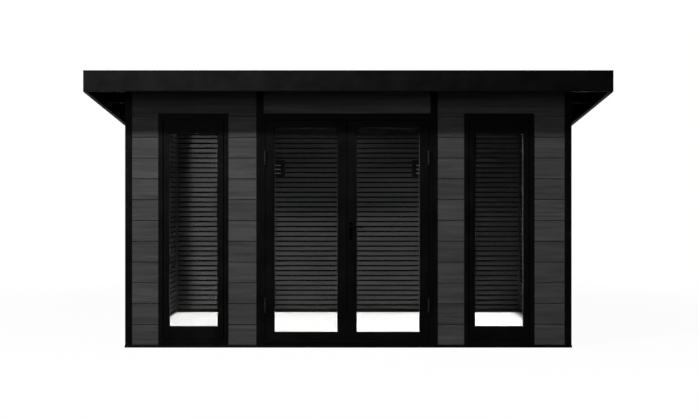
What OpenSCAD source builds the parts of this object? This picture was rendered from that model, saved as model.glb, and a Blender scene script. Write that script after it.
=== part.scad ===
// Garden room: a pent-roofed shed with a glazed front, dark board cladding and outward French doors.
// Millimetres, +Z up, front facing -Y, origin on the ground at the middle of the plan.

/* [Building] */
// Width over the corner posts
building_w = 4000; // [3950:10:4400]
// Depth over the corner posts
building_d = 3000; // [2400:10:3600]
// Height of the front fascia's top edge above the ground
front_h = 2455; // [2430:5:2700]
// Fall of the roof towards the back, in degrees
roof_fall = 4.85; // [3:0.05:5.5]
// Reach of the roof past the posts on every side
roof_overhang = 313; // [200:1:400]
// Height of the finished floor
floor_top = 65; // [55:1:80]

/* [Walls] */
// Visible width of a corner post
corner_post_w = 62; // [50:1:80]
// Thickness of the outer boards
board_t = 16; // [12:1:20]
// Thickness of the insulated wall core
core_t = 46; // [44:1:80]
// Thickness of the slatted inner lining
lining_t = 14; // [10:1:18]
// Distance of the boards behind the posts' faces
board_setback = 4; // [2:1:8]

/* [Roof] */
// Height of the fascia
fascia_h = 187; // [178:1:200]
// Thickness of the fascia
fascia_t = 25; // [18:1:32]
// Distance that the fascia hangs below the soffit
fascia_drop = 49; // [30:1:50]
// Number of insulated roof panels from front to back
roof_panel_count = 4; // [4:1:7]
// Thickness of a roof panel
roof_panel_t = 112; // [90:1:118]

/* [Windows] */
// Middle of the left window, from the middle of the building
left_window_x = -1389; // [-1420:1:-1380]
// Middle of the right window, from the middle of the building
right_window_x = 1352; // [1345:1:1400]
// Width of a window over its frame
window_w = 628; // [560:2:640]
// Height of the window heads and the door head above the ground
head_top = 2099; // [2060:1:2110]

/* [Doors] */
// Middle of the doors, from the middle of the building
door_x = -12; // [-20:1:0]
// Clear width between the door jambs
doorway_w = 1470; // [1400:2:1490]
// Width of a door jamb
door_jamb_w = 37; // [30:1:45]
// Width of a door post beside the door frame
door_post_w = 40; // [30:1:60]
// Thickness of a door leaf
leaf_t = 58; // [50:1:60]
// Gap between the two leaves where they meet
meeting_gap = 8; // [8:1:12]

/* [Door furniture] */
// Height of the lever's spindle above the ground
lever_z = 1082; // [1000:1:1150]
// Length of the lever from its spindle to its tip
lever_l = 118; // [100:1:130]
// Diameter of a hinge barrel
barrel_d = 20; // [18:0.5:21]
// Height of a hinge
hinge_h = 120; // [100:2:140]

/* [Vents] */
// Side of a vent's square flange
vent_w = 206; // [190:2:230]
// Distance between a vent's slots
slot_pitch = 44; // [36:1:50]
// Height of a vent's slot
slot_h = 9; // [6:1:12]
// Distance of each vent from the middle of the back wall
vent_x = 812; // [600:1:1000]
// Height of the vents' middle above the ground
vent_z = 1656; // [1500:1:1700]

/* [Hidden] */
$fn = 64;

// Colours
charcoal = [0.20, 0.21, 0.22];
near_black = [0.06, 0.06, 0.065];
slat_grey = [0.16, 0.165, 0.17];
pale_floor = [0.90, 0.90, 0.89];
glass_tint = [0.45, 0.50, 0.52, 0.45];
steel_grey = [0.35, 0.36, 0.37];

// Plan
half_w = building_w / 2;
half_d = building_d / 2;
roof_x = half_w + roof_overhang;
roof_y = half_d + roof_overhang;
wall_t = board_setback + board_t + core_t + lining_t;
room_x = half_w - wall_t;
room_y = half_d - wall_t;

// Base rail
rail_h = 22.5;
rail_proud = 4;
rail_chamfer = 2;
rail_groove_h = 6;
rail_groove_d = 6;

// Roof: heights are measured from the soffit plane, and a thin bed lies under the panels and on them
soffit_front = front_h - fascia_h + fascia_drop;
bed_t = 0.1;
covering_t = 4;
panel_gap = 2;
panel_bevel = 5;
cap_w = 46;
sheet_t = 3;
lip_w = 34;
cap_edge_h = 9;
cap_edge_proud = 2;

// Doorway, its frame and posts; the posts are wider above the frame by a step
doorway_x0 = door_x - doorway_w / 2;
doorway_x1 = door_x + doorway_w / 2;
door_frame_x = doorway_w / 2 + door_jamb_w;
post_outer_x = door_frame_x + door_post_w;
post_head_step = 24;
post_head_x = door_frame_x - post_head_step;
door_head_h = 59;
shadow_gap_w = 3;
shadow_gap_d = 4;

// Leaves
leaf_side_gap = 5;
leaf_end_gap = 6;
leaf_w = doorway_w / 2 - leaf_side_gap - meeting_gap / 2;
leaf_z0 = floor_top + leaf_end_gap;
leaf_z1 = head_top - door_head_h - leaf_end_gap;
hinge_stile_w = 75;
meeting_stile_w = 77;
leaf_bottom_rail = 62;
leaf_top_rail = 57;
meeting_step = 4;
stop_gap = 6;
stop_lap = 17;
stop_t = wall_t - leaf_t - stop_gap;
stop_h = 14;

// Glazing
pane_t = 26;
pane_setback = 14;
pane_lap = 12;
pane_play = 3;
bead_w = 20;
bead_step = 3;

// Window
jamb_w = 40;
window_head_h = 58;
window_sill_h = 49.5;
sash_gap = 7;
sash_end_gap = 3;
sash_setback = 6;
sash_t = 58;
sash_stile_w = 46;
sash_top_rail = 115;
sash_bottom_rail = 109;
sash_lap = 15;

// Hinges
pin_d = 8;
pin_clearance = 0.05;
knuckle_gap = 0.5;
hinge_plate_t = 3;
hinge_recess = 2;
hinge_plate_w = 30;
hinge_heights = [376, 1699];
barrel_standoff = barrel_d / 2 + 1;

// Handle
spindle_inset = 29;
plate_w = 30;
plate_h = 162;
plate_t = 9;
plate_below_lever = 118;
cylinder_drop = 92;
neck_d = 19;
neck_hole_clearance = 0.05;
lever_d = 17;
lever_reach = 34;
elbow_r = 15;
spindle_d = 10;

// Vents
sleeve_w = 150;
sleeve_t = 8;
slot_w = 108;
flange_t = 10;
hood_t = 2.5;
hood_depth = 20;
hood_tilt = 45;

// Height of the soffit plane at y
function soffit_z(y) = soffit_front - tan(roof_fall) * (y + roof_y);

// A box between two corners
module block(low, high) {
    translate(low) cube(high - low);
}

// An outline in Y and Z, drawn out along X from x0 to x1
module along_x(x0, x1, outline) {
    translate([x0, 0, 0]) rotate([90, 0, 90]) linear_extrude(x1 - x0) polygon(outline);
}

// A slab that follows the roof, from low to high above the soffit plane
module roof_slab(x0, x1, y0, y1, low, high) {
    along_x(x0, x1, [
        [y0, soffit_z(y0) + low],
        [y1, soffit_z(y1) + low],
        [y1, soffit_z(y1) + high],
        [y0, soffit_z(y0) + high]
    ]);
}

// A wall that stands on z0 and is cut to the bed under the soffit plane
module wall_slab(x0, x1, y0, y1, z0 = rail_h) {
    along_x(x0, x1, [[y0, z0], [y1, z0], [y1, soffit_z(y1) - bed_t], [y0, soffit_z(y0) - bed_t]]);
}

// Everything below the soffit plane
module under_soffit() {
    wall_slab(-building_w, building_w, -building_d, building_d, 0);
}

// ---------------------------------------------------------------- base and floor

// The base rail's section, outer edge at 0 and inner edge at its width, with a groove along its top
// that leaves a shadow line under the posts and boards
function rail_section(w) = let(x = rail_proud + rail_groove_d, z = rail_h - rail_groove_h) [
    [0, 0], [w, 0], [w, rail_h], [x, rail_h], [x, z], [rail_chamfer, z], [0, z - rail_chamfer]
];

module base_rail_front() {
    color(near_black) base_rail(half_w + rail_proud, half_d);
}

module base_rail_back() {
    color(near_black) mirror([0, 1, 0]) base_rail(half_w + rail_proud, half_d);
}

module base_rail_left() {
    color(near_black) rotate(-90) base_rail(room_y, half_w);
}

module base_rail_right() {
    color(near_black) rotate(90) base_rail(room_y, half_w);
}

// A rail along X whose outer face lies proud of y = -reach
module base_rail(half_l, reach) {
    translate([0, -reach - rail_proud, 0])
        along_x(-half_l, half_l, rail_section(wall_t + rail_proud));
}

module floor_panel() {
    color(pale_floor) block([-room_x, -room_y, 0], [room_x, room_y, floor_top]);
}

// ---------------------------------------------------------------- posts

// Plan of a corner post with a rebate for the board ends on each outer face
function corner_post_section() = let(r = board_setback + board_t) [
    [0, 0], [corner_post_w, 0], [corner_post_w, r], [wall_t, r],
    [wall_t, wall_t], [r, wall_t], [r, corner_post_w], [0, corner_post_w]
];

module corner_post(side_x, side_y) {
    color(near_black) intersection() {
        mirror([side_x > 0 ? 1 : 0, 0, 0])
            mirror([0, side_y > 0 ? 1 : 0, 0])
                translate([-half_w, -half_d, rail_h])
                    linear_extrude(front_h) polygon(corner_post_section());
        under_soffit();
    }
}

// A door post: it stands beside the door frame and widens above it, up to the roof
module door_post(side) {
    color(near_black) translate([door_x, 0, 0]) mirror([side > 0 ? 1 : 0, 0, 0]) difference() {
        wall_slab(-post_outer_x, -post_head_x, -half_d, -room_y);
        block([-door_frame_x, -building_d, 0], [0, building_d, head_top]);
    }
}

// ---------------------------------------------------------------- walls

// The space that a window frame takes out of the front wall, down to the base rail
module window_hole(x) {
    block([x - window_w / 2, -building_d, 0], [x + window_w / 2, 0, head_top]);
}

module front_wall_left() {
    color(charcoal) difference() {
        wall_slab(-room_x, door_x - post_outer_x, -half_d + board_setback + board_t, -room_y);
        window_hole(left_window_x);
    }
}

module front_wall_right() {
    color(charcoal) difference() {
        wall_slab(door_x + post_outer_x, room_x, -half_d + board_setback + board_t, -room_y);
        window_hole(right_window_x);
    }
}

module front_wall_over_doors() {
    y0 = -half_d + board_setback + board_t;
    color(charcoal) wall_slab(door_x - post_head_x, door_x + post_head_x, y0, -room_y, head_top);
}

// The boards on the front: left of the doors, right of the doors and over them
module front_cladding() {
    edge = half_w - corner_post_w;
    y0 = -half_d + board_setback;
    color(charcoal) difference() {
        union() {
            wall_slab(-edge, door_x - post_outer_x, y0, y0 + board_t);
            wall_slab(door_x - post_head_x, door_x + post_head_x, y0, y0 + board_t, head_top);
            wall_slab(door_x + post_outer_x, edge, y0, y0 + board_t);
        }
        window_hole(left_window_x);
        window_hole(right_window_x);
    }
}

// A layer of a side wall, from depth d0 to d1 behind the posts' face
module side_layer(side, d0, d1, half_l) {
    mirror([side > 0 ? 1 : 0, 0, 0]) wall_slab(-half_w + d0, -half_w + d1, -half_l, half_l);
}

module side_cladding(side) {
    color(charcoal)
        side_layer(side, board_setback, board_setback + board_t, half_d - corner_post_w);
}

module side_wall(side) {
    color(charcoal) side_layer(side, board_setback + board_t, wall_t - lining_t, room_y);
}

module side_lining(side) {
    color(slat_grey) side_layer(side, wall_t - lining_t, wall_t, room_y);
}

// A layer of the back wall, with the two holes that the vent sleeves pass through
module back_layer(d0, d1, half_l) {
    difference() {
        wall_slab(-half_l, half_l, half_d - d1, half_d - d0);
        for (side = [-1, 1])
            translate([side * vent_x, 0, vent_z])
                block([-sleeve_w / 2, 0, -sleeve_w / 2], [sleeve_w / 2, building_d, sleeve_w / 2]);
    }
}

module back_cladding() {
    color(charcoal) back_layer(board_setback, board_setback + board_t, half_w - corner_post_w);
}

module back_wall() {
    color(charcoal) back_layer(board_setback + board_t, wall_t - lining_t, room_x);
}

module back_lining() {
    color(slat_grey) back_layer(wall_t - lining_t, wall_t, room_x);
}

// ---------------------------------------------------------------- glazing

// A frame for one pane: its rails and stiles, a stepped bead round the glass and the pane's groove.
// The pane opening lies between x0, x1 and z0, z1; the frame's outer face is at y = 0.
module glazed_frame(low, high, x0, x1, z0, z1, depth) {
    difference() {
        block([low[0], 0, low[1]], [high[0], depth, high[1]]);
        block([x0, -1, z0], [x1, depth + 1, z1]);
        block([x0 - bead_w, -1, z0 - bead_w], [x1 + bead_w, bead_step, z1 + bead_w]);
        block([x0 - pane_lap, pane_setback, z0 - pane_lap],
            [x1 + pane_lap, pane_setback + pane_t, z1 + pane_lap]);
    }
}

// The pane in that groove: it stands on the groove's bottom, with play above and beside it
module pane(x0, x1, z0, z1) {
    reach = pane_lap - pane_play;
    block([x0 - reach, pane_setback, z0 - pane_lap],
        [x1 + reach, pane_setback + pane_t, z1 + reach]);
}

window_z0 = rail_h + window_sill_h;
window_z1 = head_top - window_head_h;
sash_half = window_w / 2 - jamb_w - sash_gap;
pane_half = sash_half - sash_stile_w;
pane_z0 = window_z0 + sash_end_gap + sash_bottom_rail;
pane_z1 = window_z1 - sash_end_gap - sash_top_rail;

// Outer frame of a fixed window, with a stop behind the sash
module window_frame(x) {
    inner = window_w / 2 - jamb_w;
    side_stop = inner - sash_gap - sash_lap;
    end_stop = sash_end_gap + sash_lap;
    sash_back = sash_setback + sash_t;
    color(near_black) translate([x, -half_d, 0]) difference() {
        block([-window_w / 2, 0, rail_h], [window_w / 2, wall_t, head_top]);
        block([-inner, -1, window_z0], [inner, sash_back, window_z1]);
        block([-side_stop, -1, window_z0 + end_stop], [side_stop, wall_t + 1, window_z1 - end_stop]);
    }
}

// The sash fixed in that frame; it stands on packers that keep its gap
module window_sash(x) {
    low = [-sash_half, window_z0 + sash_end_gap];
    high = [sash_half, window_z1 - sash_end_gap];
    color(near_black) translate([x, -half_d + sash_setback, 0]) {
        glazed_frame(low, high, -pane_half, pane_half, pane_z0, pane_z1, sash_t);
    }
}

module window_glass(x) {
    color(glass_tint) translate([x, -half_d + sash_setback, 0])
        pane(-pane_half, pane_half, pane_z0, pane_z1);
}

// ---------------------------------------------------------------- doors

// Door frame: jambs and head with the stops that the leaves close against, and a fine shadow gap
// where its face meets the posts and the board above
module door_frame() {
    x = door_frame_x;
    head_z = head_top - door_head_h;
    color(near_black) difference() {
        translate([door_x, 0, 0]) union() {
            block([-x, -half_d + shadow_gap_d, rail_h], [x, -room_y, head_top]);
            block([-x + shadow_gap_w, -half_d, rail_h],
                [x - shadow_gap_w, -room_y, head_top - shadow_gap_w]);
        }
        block([doorway_x0, -building_d, 0], [doorway_x1, -room_y - stop_t, head_z]);
        block([doorway_x0, -building_d, 0], [doorway_x1, 0, floor_top]);
        block([doorway_x0 + stop_lap, -building_d, 0], [doorway_x1 - stop_lap, 0, head_z - stop_lap]);
        for (side = [-1, 1])
            hinge_mortises(side, -leaf_side_gap / 2 - hinge_recess, -leaf_side_gap / 2 + 1);
    }
}

// Threshold with a rounded-down nose and an upstand between the stops
module door_threshold() {
    nose = 4;
    color(steel_grey) {
        along_x(doorway_x0, doorway_x1, [
            [-half_d, rail_h], [-room_y, rail_h], [-room_y, floor_top],
            [-half_d + nose, floor_top], [-half_d, floor_top - nose]
        ]);
        block([doorway_x0 + stop_lap, -room_y - stop_t, floor_top],
            [doorway_x1 - stop_lap, -room_y, floor_top + stop_h]);
    }
}

// The left leaf's box, drawn with the hinge edge at x = 0; the right leaf is its mirror image
leaf_pane_x0 = hinge_stile_w;
leaf_pane_x1 = leaf_w - meeting_stile_w;
leaf_pane_z0 = leaf_z0 + leaf_bottom_rail;
leaf_pane_z1 = leaf_z1 - leaf_top_rail;

// Puts a leaf's pieces at the left, or mirrored at the right
module at_leaf(side) {
    translate([door_x, -half_d, 0])
        mirror([side > 0 ? 1 : 0, 0, 0])
            translate([-doorway_w / 2 + leaf_side_gap, 0, 0]) children();
}

// A door leaf; the inner half of its meeting edge is stepped back so that it swings past the other
module leaf_frame() {
    difference() {
        glazed_frame([0, leaf_z0], [leaf_w, leaf_z1],
            leaf_pane_x0, leaf_pane_x1, leaf_pane_z0, leaf_pane_z1, leaf_t);
        block([leaf_w - meeting_step, leaf_t / 2, 0], [leaf_w + 1, leaf_t + 1, front_h]);
    }
}

// A leaf with the recesses that its hinge plates lie in
module hung_leaf(side) {
    difference() {
        at_leaf(side) leaf_frame();
        hinge_mortises(side, leaf_side_gap / 2 - 1, leaf_side_gap / 2 + hinge_recess);
    }
}

module left_door_leaf() {
    color(near_black) hung_leaf(-1);
}

// The right leaf also carries the spindle's hole
module right_door_leaf() {
    color(near_black) difference() {
        hung_leaf(1);
        at_spindle() rotate([-90, 0, 0])
            cylinder(d = neck_d, h = 3 * leaf_t, center = true);
    }
}

module door_glass(side) {
    color(glass_tint) at_leaf(side)
        pane(leaf_pane_x0, leaf_pane_x1, leaf_pane_z0, leaf_pane_z1);
}

// ---------------------------------------------------------------- hinges

// The knuckles' heights: the middle one turns with the leaf
knuckle_h = hinge_h / 3;

// Both hinges of a leaf, drawn round the pin's axis at x = 0, y = 0
module at_hinges(side) {
    at_leaf(side) translate([-leaf_side_gap / 2, -barrel_standoff, 0])
        for (z = hinge_heights) translate([0, 0, z - hinge_h / 2]) children();
}

// A plate behind the barrel, from x0 to x1, joined to its own knuckles only
module hinge_plate(x0, x1, joined_z) {
    block([x0, barrel_standoff, 0], [x1, barrel_standoff + hinge_plate_w, hinge_h]);
    for (z = joined_z)
        block([x0, 0, z[0]], [x1, barrel_standoff, z[1]]);
}

// Recesses for the hinge plates, from x0 to x1 beside the axis
module hinge_mortises(side, x0, x1) {
    at_hinges(side)
        block([x0, barrel_standoff - 1, 0], [x1, barrel_standoff + hinge_plate_w, hinge_h]);
}

// The part on the jamb: two outer knuckles with tapered caps, the pin and a plate let into the jamb
module hinge_post_part() {
    outer = -leaf_side_gap / 2 - hinge_recess;
    ends = [[0, knuckle_h], [2 * knuckle_h, hinge_h]];
    cap_h = 3;
    cap_d = barrel_d - 6;
    for (z = ends)
        translate([0, 0, z[0]]) cylinder(d = barrel_d, h = z[1] - z[0]);
    cylinder(d = pin_d, h = hinge_h);
    translate([0, 0, -cap_h]) cylinder(d1 = cap_d, d2 = barrel_d, h = cap_h);
    translate([0, 0, hinge_h]) cylinder(d1 = barrel_d, d2 = cap_d, h = cap_h);
    hinge_plate(outer, outer + hinge_plate_t, ends);
}

// The part on the leaf: the middle knuckle, bored for the pin, and a plate let into the leaf
module hinge_leaf_part() {
    outer = leaf_side_gap / 2 + hinge_recess;
    span = [knuckle_h + knuckle_gap, 2 * knuckle_h - knuckle_gap];
    difference() {
        union() {
            translate([0, 0, span[0]]) cylinder(d = barrel_d, h = span[1] - span[0]);
            hinge_plate(outer - hinge_plate_t, outer, [span]);
        }
        cylinder(d = pin_d + 2 * pin_clearance, h = hinge_h);
    }
}

module hinge_posts(side) {
    color(steel_grey) at_hinges(side) hinge_post_part();
}

module hinge_leaves(side) {
    color(steel_grey) at_hinges(side) hinge_leaf_part();
}

// ---------------------------------------------------------------- handle

spindle_x = door_x + meeting_gap / 2 + spindle_inset;

// The spindle's axis on the door's outer face
module at_spindle() {
    translate([spindle_x, -half_d, lever_z]) children();
}

// A plate with round ends, lying on y = 0 and standing out towards -y
module handle_plate() {
    z0 = -plate_below_lever;
    r = plate_w / 2;
    rotate([90, 0, 0]) linear_extrude(plate_t) {
        translate([0, z0 + plate_h - r]) circle(r);
        translate([0, z0 + r]) circle(r);
        translate([-r, z0 + r]) square([plate_w, plate_h - plate_w]);
    }
}

// A key cylinder that shows below the lever
module key_cylinder() {
    body_d = 17;
    web_w = 10;
    web_h = 22;
    proud = 3;
    translate([0, 0, -cylinder_drop]) rotate([90, 0, 0]) linear_extrude(plate_t + proud) {
        circle(d = body_d);
        translate([-web_w / 2, -web_h]) square([web_w, web_h]);
    }
}

// One side of the door: plate and cylinder, bored for the lever's neck
module plate_side() {
    difference() {
        union() {
            handle_plate();
            key_cylinder();
        }
        rotate([90, 0, 0]) cylinder(d = neck_d + 2 * neck_hole_clearance, h = 3 * plate_t, center = true);
    }
}

module door_handle_plates() {
    color(steel_grey) {
        at_spindle() plate_side();
        at_spindle() translate([0, leaf_t, 0]) mirror([0, 1, 0]) plate_side();
    }
}

// One lever: a neck out of the plate, an elbow and a round bar towards the hinges
module lever_side() {
    bar_l = lever_l - elbow_r - lever_d / 2;
    rotate([90, 0, 0]) cylinder(d = neck_d, h = plate_t + 4);
    rotate([90, 0, 0]) cylinder(d = lever_d, h = plate_t + lever_reach);
    translate([elbow_r, -plate_t - lever_reach, 0])
        rotate(180) rotate_extrude(angle = 90)
            translate([elbow_r, 0]) circle(d = lever_d);
    translate([elbow_r, -plate_t - lever_reach - elbow_r, 0]) rotate([0, 90, 0]) {
        cylinder(d = lever_d, h = bar_l);
        translate([0, 0, bar_l]) sphere(d = lever_d);
    }
}

// Both levers on their common spindle
module door_lever() {
    color(steel_grey) {
        at_spindle() lever_side();
        at_spindle() translate([0, leaf_t, 0]) mirror([0, 1, 0]) lever_side();
        at_spindle() rotate([-90, 0, 0]) cylinder(d = spindle_d, h = leaf_t);
    }
}

// ---------------------------------------------------------------- roof

// Insulated panels side by side down the slope, their lower edges bevelled where they meet
module roof_panels() {
    x = roof_x - fascia_t;
    pitch = 2 * (roof_y - fascia_t) / roof_panel_count;
    color(near_black) for (i = [0 : roof_panel_count - 1]) {
        y0 = -roof_y + fascia_t + i * pitch + (i > 0 ? panel_gap / 2 : 0);
        y1 = -roof_y + fascia_t + (i + 1) * pitch - (i < roof_panel_count - 1 ? panel_gap / 2 : 0);
        along_x(-x, x, [
            [y0 + panel_bevel, soffit_z(y0 + panel_bevel)],
            [y1 - panel_bevel, soffit_z(y1 - panel_bevel)],
            [y1, soffit_z(y1) + panel_bevel],
            [y1, soffit_z(y1) + roof_panel_t],
            [y0, soffit_z(y0) + roof_panel_t],
            [y0, soffit_z(y0) + panel_bevel]
        ]);
    }
}

module roof_covering() {
    x = roof_x - fascia_t;
    y = roof_y - fascia_t;
    low = roof_panel_t + bed_t;
    color(charcoal) roof_slab(-x, x, -y, y, low, low + covering_t);
}

// A fascia along X, from z0 to z1: the cap's edge lies at y and the face is set back under it.
// Its thickness lies along y in the direction of way.
module fascia_board(y, way, z0, z1) {
    face = y + way * cap_edge_proud;
    inner = y + way * fascia_t;
    along_x(-roof_x, roof_x, [
        [face, z0], [inner, z0], [inner, z1], [y, z1], [y, z1 - cap_edge_h], [face, z1 - cap_edge_h]
    ]);
}

// Front fascia: a board with a lip at the bottom and a cap at the top, both turned inwards
module fascia_front() {
    y = -roof_y;
    z0 = front_h - fascia_h;
    lip_x = roof_x - lip_w;
    cap_x = roof_x - cap_w;
    color(near_black) {
        fascia_board(y, 1, z0, front_h);
        block([-lip_x, y + fascia_t, z0], [lip_x, y + lip_w, z0 + sheet_t]);
        block([-cap_x, y + fascia_t, front_h - sheet_t], [cap_x, y + cap_w, front_h]);
    }
}

// Back fascia: its top is level with the covering, which drains over it
module fascia_back() {
    y = roof_y;
    z0 = soffit_z(y) - fascia_drop;
    z1 = soffit_z(y - fascia_t) + roof_panel_t + bed_t + covering_t;
    lip_x = roof_x - lip_w;
    color(near_black) {
        fascia_board(y, -1, z0, z1);
        block([-lip_x, y - lip_w, z0], [lip_x, y - fascia_t, z0 + sheet_t]);
    }
}

// The side fascia's section, from its outer face inwards and up from the soffit plane
function fascia_section() = let(
    low = -fascia_drop * cos(roof_fall),
    high = (fascia_h - fascia_drop) * cos(roof_fall)
) [
    [cap_edge_proud, low], [lip_w, low], [lip_w, low + sheet_t], [fascia_t, low + sheet_t],
    [fascia_t, high - sheet_t], [cap_w, high - sheet_t], [cap_w, high], [0, high],
    [0, high - cap_edge_h], [cap_edge_proud, high - cap_edge_h]
];

// Side fascia: that section down the slope, cut upright between the front and the back fascia
module fascia_side(side) {
    y = roof_y - fascia_t;
    color(near_black) mirror([side > 0 ? 1 : 0, 0, 0]) translate([-roof_x, 0, 0]) intersection() {
        translate([0, 0, soffit_z(0)]) rotate([90 - roof_fall, 0, 0])
            linear_extrude(3 * roof_y, center = true) polygon(fascia_section());
        block([0, -y, 0], [cap_w, y, 2 * front_h]);
    }
}

// ---------------------------------------------------------------- vents

// Puts a piece at the inner and the outer end of both vent sleeves, with its back on the sleeve
module at_vent_ends() {
    color(near_black) for (side = [-1, 1]) translate([side * vent_x, 0, vent_z]) {
        translate([0, room_y, 0]) children();
        translate([0, half_d - board_setback, 0]) mirror([0, 1, 0]) children();
    }
}

// The square sleeves of the two vents, through the back wall
module back_vents() {
    outer = sleeve_w / 2;
    inner = outer - sleeve_t;
    color(near_black) for (side = [-1, 1]) translate([side * vent_x, 0, vent_z]) difference() {
        block([-outer, room_y, -outer], [outer, half_d - board_setback, outer]);
        block([-inner, room_y - 1, -inner], [inner, half_d, inner]);
    }
}

// A square flange with three slots
module vent_grille() {
    difference() {
        block([-vent_w / 2, -flange_t, -vent_w / 2], [vent_w / 2, 0, vent_w / 2]);
        for (row = [-1, 0, 1])
            translate([0, 0, row * slot_pitch])
                block([-slot_w / 2, -flange_t - 1, -slot_h / 2], [slot_w / 2, 1, slot_h / 2]);
    }
}

// The slanted hoods that rise behind a flange's slots and keep the rain out
module slot_hoods() {
    run = hood_depth * cos(hood_tilt);
    rise = hood_depth * sin(hood_tilt);
    thick = hood_t / cos(hood_tilt);
    for (row = [-1, 0, 1])
        translate([0, 0, row * slot_pitch - slot_h / 2])
            along_x(-slot_w / 2 - 1, slot_w / 2 + 1, [[0, -thick], [run, rise - thick], [run, rise], [0, 0]]);
}

base_rail_front();
base_rail_back();
base_rail_left();
base_rail_right();
floor_panel();
corner_post(-1, -1);  // corner_post_front_left
corner_post(1, -1);  // corner_post_front_right
corner_post(-1, 1);  // corner_post_back_left
corner_post(1, 1);  // corner_post_back_right
door_post(-1);  // door_post_left
door_post(1);  // door_post_right
front_wall_left();
front_wall_right();
front_wall_over_doors();
side_wall(-1);  // left_wall
side_wall(1);  // right_wall
back_wall();
front_cladding();
side_cladding(-1);  // left_cladding
side_cladding(1);  // right_cladding
back_cladding();
side_lining(-1);  // left_lining
side_lining(1);  // right_lining
back_lining();
window_frame(left_window_x);  // window_frame_left
window_frame(right_window_x);  // window_frame_right
window_sash(left_window_x);  // window_sash_left
window_sash(right_window_x);  // window_sash_right
window_glass(left_window_x);  // window_glass_left
window_glass(right_window_x);  // window_glass_right
door_frame();
door_threshold();
left_door_leaf();
right_door_leaf();
door_glass(-1);  // left_door_glass
door_glass(1);  // right_door_glass
hinge_posts(-1);  // left_hinge_posts
hinge_posts(1);  // right_hinge_posts
hinge_leaves(-1);  // left_hinge_leaves
hinge_leaves(1);  // right_hinge_leaves
door_handle_plates();
door_lever();
roof_panels();
roof_covering();
fascia_front();
fascia_back();
fascia_side(-1);  // fascia_left
fascia_side(1);  // fascia_right
back_vents();
at_vent_ends() vent_grille();  // vent_grilles
at_vent_ends() slot_hoods();  // vent_hoods
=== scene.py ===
"""Looks of a garden room shed: boards, slats, seals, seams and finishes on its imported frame.

Lengths are metres in the frame's axes: +Z up, the glazed front facing -Y, ground at z = 0.
"""

import logging
import math
import random
from abc import ABC, abstractmethod
from dataclasses import dataclass, field, replace
from enum import Enum
from typing import Callable, Iterable, Iterator, Sequence

import bmesh
import bpy
from mathutils import Matrix, Vector


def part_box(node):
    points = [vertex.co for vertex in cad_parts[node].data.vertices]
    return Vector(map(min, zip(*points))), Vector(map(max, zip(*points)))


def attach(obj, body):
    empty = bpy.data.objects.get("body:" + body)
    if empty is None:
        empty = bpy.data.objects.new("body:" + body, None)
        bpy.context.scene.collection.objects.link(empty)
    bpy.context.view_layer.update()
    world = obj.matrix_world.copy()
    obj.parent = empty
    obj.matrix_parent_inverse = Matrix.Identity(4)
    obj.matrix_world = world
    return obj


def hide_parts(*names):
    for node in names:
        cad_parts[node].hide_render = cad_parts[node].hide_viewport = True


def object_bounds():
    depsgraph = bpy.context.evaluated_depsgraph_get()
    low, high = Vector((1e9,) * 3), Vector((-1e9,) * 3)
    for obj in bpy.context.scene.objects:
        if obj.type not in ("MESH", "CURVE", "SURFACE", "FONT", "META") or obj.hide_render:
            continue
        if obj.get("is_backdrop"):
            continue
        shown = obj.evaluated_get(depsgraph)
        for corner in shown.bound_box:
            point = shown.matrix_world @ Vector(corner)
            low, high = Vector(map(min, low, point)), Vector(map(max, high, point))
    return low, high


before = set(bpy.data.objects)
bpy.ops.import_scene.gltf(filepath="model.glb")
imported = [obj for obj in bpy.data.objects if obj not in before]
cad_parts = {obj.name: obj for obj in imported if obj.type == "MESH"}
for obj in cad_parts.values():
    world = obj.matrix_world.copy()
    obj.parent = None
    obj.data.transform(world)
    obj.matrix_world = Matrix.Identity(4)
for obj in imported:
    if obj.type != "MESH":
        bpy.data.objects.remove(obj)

log = logging.getLogger("garden_room")

Triple = tuple[float, float, float]
Colour = Triple
Pair = tuple[float, float]
Span = Pair
Outline = Sequence[Pair]
Stops = tuple[tuple[float, Colour], ...]
Socket = bpy.types.NodeSocket
Value = Socket | float | tuple[float, ...]
Inputs = dict[str | int, Value]

# The range that holds nearly all the values of a noise.
NOISE_RANGE: Span = (0.3, 0.7)


# ---------------------------------------------------------------- finishes


class GrainSource(Enum):
    """Where a pattern reads its coordinates."""

    OWN_PLACE = "own_place"
    FRAME = "frame"


class Layer(Enum):
    """Which of a skin's two patterns something follows."""

    COARSE = "coarse"
    FINE = "fine"


@dataclass(frozen=True)
class Pattern:
    """Noise or waves that a finish varies by.

    Attributes:
        scale: how many features there are to a metre.
        detail: octaves of finer noise.
        rough: weight of the finer octaves.
        stretch: how many times finer it is along each axis.
        waves: the axes that waves follow each other along; without any it is noise.
        source: where it reads its coordinates.
    """

    scale: float
    detail: float = 4.0
    rough: float = 0.6
    stretch: Triple = (1.0, 1.0, 1.0)
    waves: str = ""
    source: GrainSource = GrainSource.FRAME


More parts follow.
